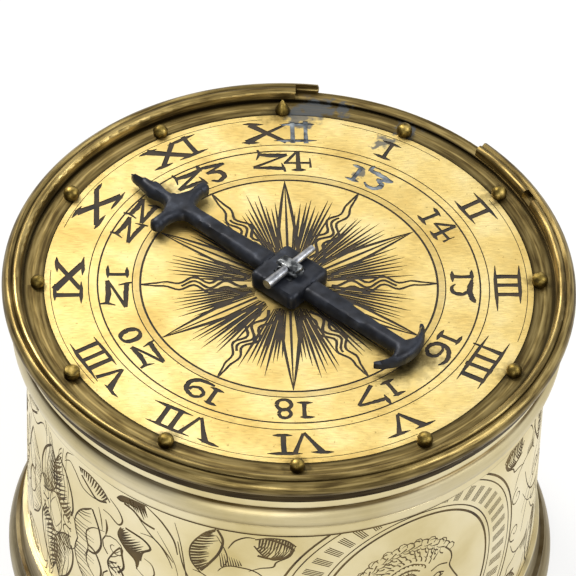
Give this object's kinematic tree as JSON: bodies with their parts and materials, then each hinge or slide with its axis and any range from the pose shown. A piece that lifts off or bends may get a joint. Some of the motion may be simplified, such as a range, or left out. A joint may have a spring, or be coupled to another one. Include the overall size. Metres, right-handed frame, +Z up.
{
  "type": "drum clock",
  "caption": "Round drum table clock with an engraved twelve and twenty-four hour dial on top, one iron hand, touch pins and a spring-driven verge and fusee movement.",
  "frame": {"origin": "centre of the foot ring, on the surface the clock stands on", "axes": "+Z up, out of the dial; +Y towards XII, +X towards III"},
  "size_m": [0.076, 0.076, 0.056],
  "materials": {
    "gilt_brass": "worn mercury gilding, engraved",
    "tarnished_brass": "tarnished, rubbed bright on its edges",
    "dial_gilt": "gilt and engraved, the cuts dark",
    "blackened_iron": "filed and blackened",
    "bright_steel": "filed and polished",
    "movement_brass": "filed and stoned, gilt",
    "gut": "twisted gut"
  },
  "bodies": {
    "case": {"drum_wall": "gilt_brass", "upper_moulding": "gilt_brass", "base_moulding": "gilt_brass", "cover_hinge_pin": "bright_steel", "bezel_ring": "tarnished_brass", "rim_moulding": "tarnished_brass", "dial_plate": "dial_gilt", "touch_pins": "tarnished_brass", "dial_feet": "movement_brass", "dial_foot_pins": "bright_steel", "top_plate": "movement_brass", "bottom_plate": "movement_brass", "pillars": "movement_brass", "pillar_pins": "bright_steel", "case_lugs": "movement_brass", "dog_screws": "bright_steel", "setup_click_screw": "bright_steel", "front_potence": "movement_brass", "rear_potence": "movement_brass", "balance_cock": "movement_brass", "cock_screw": "bright_steel", "gut_line": "gut"},
    "base_cover": {"base_cover": "movement_brass"},
    "cover_catch": {"cover_catch": "movement_brass"},
    "case_dog_front": {"case_dog_front": "bright_steel"},
    "case_dog_rear": {"case_dog_rear": "bright_steel"},
    "great_wheel": {"great_wheel": "movement_brass", "fusee_click_screw": "bright_steel"},
    "fusee_click": {"fusee_click": "bright_steel"},
    "fusee": {"fusee_arbor": "bright_steel", "fusee_ratchet": "bright_steel", "fusee_cone": "movement_brass"},
    "barrel": {"barrel": "movement_brass", "barrel_cap": "movement_brass", "mainspring": "bright_steel"},
    "barrel_arbor": {"barrel_arbor": "bright_steel", "setup_ratchet": "bright_steel"},
    "setup_click": {"setup_click": "bright_steel"},
    "second_arbor": {"second_arbor": "bright_steel", "second_wheel": "movement_brass"},
    "contrate_arbor": {"contrate_arbor": "bright_steel", "contrate_wheel": "movement_brass"},
    "crown_wheel": {"crown_arbor": "bright_steel", "crown_wheel": "movement_brass"},
    "balance": {"verge": "bright_steel", "balance_wheel": "bright_steel"},
    "hour_wheel": {"hour_wheel": "movement_brass"},
    "hand": {"hand_arbor": "blackened_iron", "friction_spring": "bright_steel", "hand": "blackened_iron", "hand_pin": "bright_steel"}
  },
  "joints": [
    {"name": "second_arbor_turn", "type": "hinge", "parent": "case", "child": "second_arbor", "pos_m": [0.01099, -0.004, 0.03], "axis": [0, 0, 1], "continuous": true},
    {"name": "great_wheel_turn", "type": "hinge", "parent": "case", "child": "great_wheel", "pos_m": [0.00946, 0.01062, 0.02], "axis": [0, 0, 1], "continuous": true},
    {"name": "hour_wheel_turn", "type": "hinge", "parent": "case", "child": "hour_wheel", "pos_m": [0, 0, 0.049], "axis": [0, 0, 1], "continuous": true},
    {"name": "contrate_turn", "type": "hinge", "parent": "case", "child": "contrate_arbor", "pos_m": [0.00395, -0.0113, 0.028], "axis": [0, 0, 1], "continuous": true},
    {"name": "crown_wheel_turn", "type": "hinge", "parent": "case", "child": "crown_wheel", "pos_m": [-0.00805, -0.0113, 0.0314], "axis": [1, 0, 0], "continuous": true},
    {"name": "barrel_turn", "type": "hinge", "parent": "case", "child": "barrel", "pos_m": [-0.01402, 0.00951, 0.03], "axis": [0, 0, 1], "continuous": true},
    {"name": "hand_setting", "type": "hinge", "parent": "hour_wheel", "child": "hand", "pos_m": [0, 0, 0.052], "axis": [0, 0, 1], "continuous": true},
    {"name": "fusee_winding", "type": "hinge", "parent": "great_wheel", "child": "fusee", "pos_m": [0.00946, 0.01062, 0.025], "axis": [0, 0, 1], "continuous": true},
    {"name": "spring_setup", "type": "hinge", "parent": "case", "child": "barrel_arbor", "pos_m": [-0.01402, 0.00951, 0.015], "axis": [0, 0, 1], "continuous": true},
    {"name": "balance_swing", "type": "hinge", "parent": "case", "child": "balance", "pos_m": [-0.0126, -0.0113, 0.012], "axis": [0, 0, 1], "range_deg": [-28, 28]},
    {"name": "fusee_click_lift", "type": "hinge", "parent": "great_wheel", "child": "fusee_click", "pos_m": [0.00253, 0.00662, 0.0218], "axis": [0, 0, -1], "range_deg": [0, 12]},
    {"name": "setup_click_lift", "type": "hinge", "parent": "case", "child": "setup_click", "pos_m": [-0.01002, 0.01644, 0.0149], "axis": [0, 0, -1], "range_deg": [0, 12]},
    {"name": "cover_hinge", "type": "hinge", "parent": "case", "child": "base_cover", "pos_m": [0, 0.0349, 0.00125], "axis": [1, 0, 0], "range_deg": [0, 100]},
    {"name": "cover_catch_turn", "type": "hinge", "parent": "base_cover", "child": "cover_catch", "pos_m": [0, -0.0274, 0.002], "axis": [0, 0, -1], "range_deg": [0, 90]},
    {"name": "case_dog_front_turn", "type": "hinge", "parent": "case", "child": "case_dog_front", "pos_m": [0.02338, -0.0135, 0.015], "axis": [0, 0, 1], "range_deg": [0, 90]},
    {"name": "case_dog_rear_turn", "type": "hinge", "parent": "case", "child": "case_dog_rear", "pos_m": [-0.02338, 0.0135, 0.015], "axis": [0, 0, 1], "range_deg": [0, 90]}
  ],
  "couplings": [
    {"joint": "great_wheel_turn", "follows": "second_arbor_turn", "ratio": -0.16667},
    {"joint": "hour_wheel_turn", "follows": "second_arbor_turn", "ratio": -0.083333},
    {"joint": "contrate_turn", "follows": "second_arbor_turn", "ratio": -12},
    {"joint": "crown_wheel_turn", "follows": "second_arbor_turn", "ratio": 108},
    {"joint": "barrel_turn", "follows": "second_arbor_turn", "ratio": -0.091502}
  ]
}
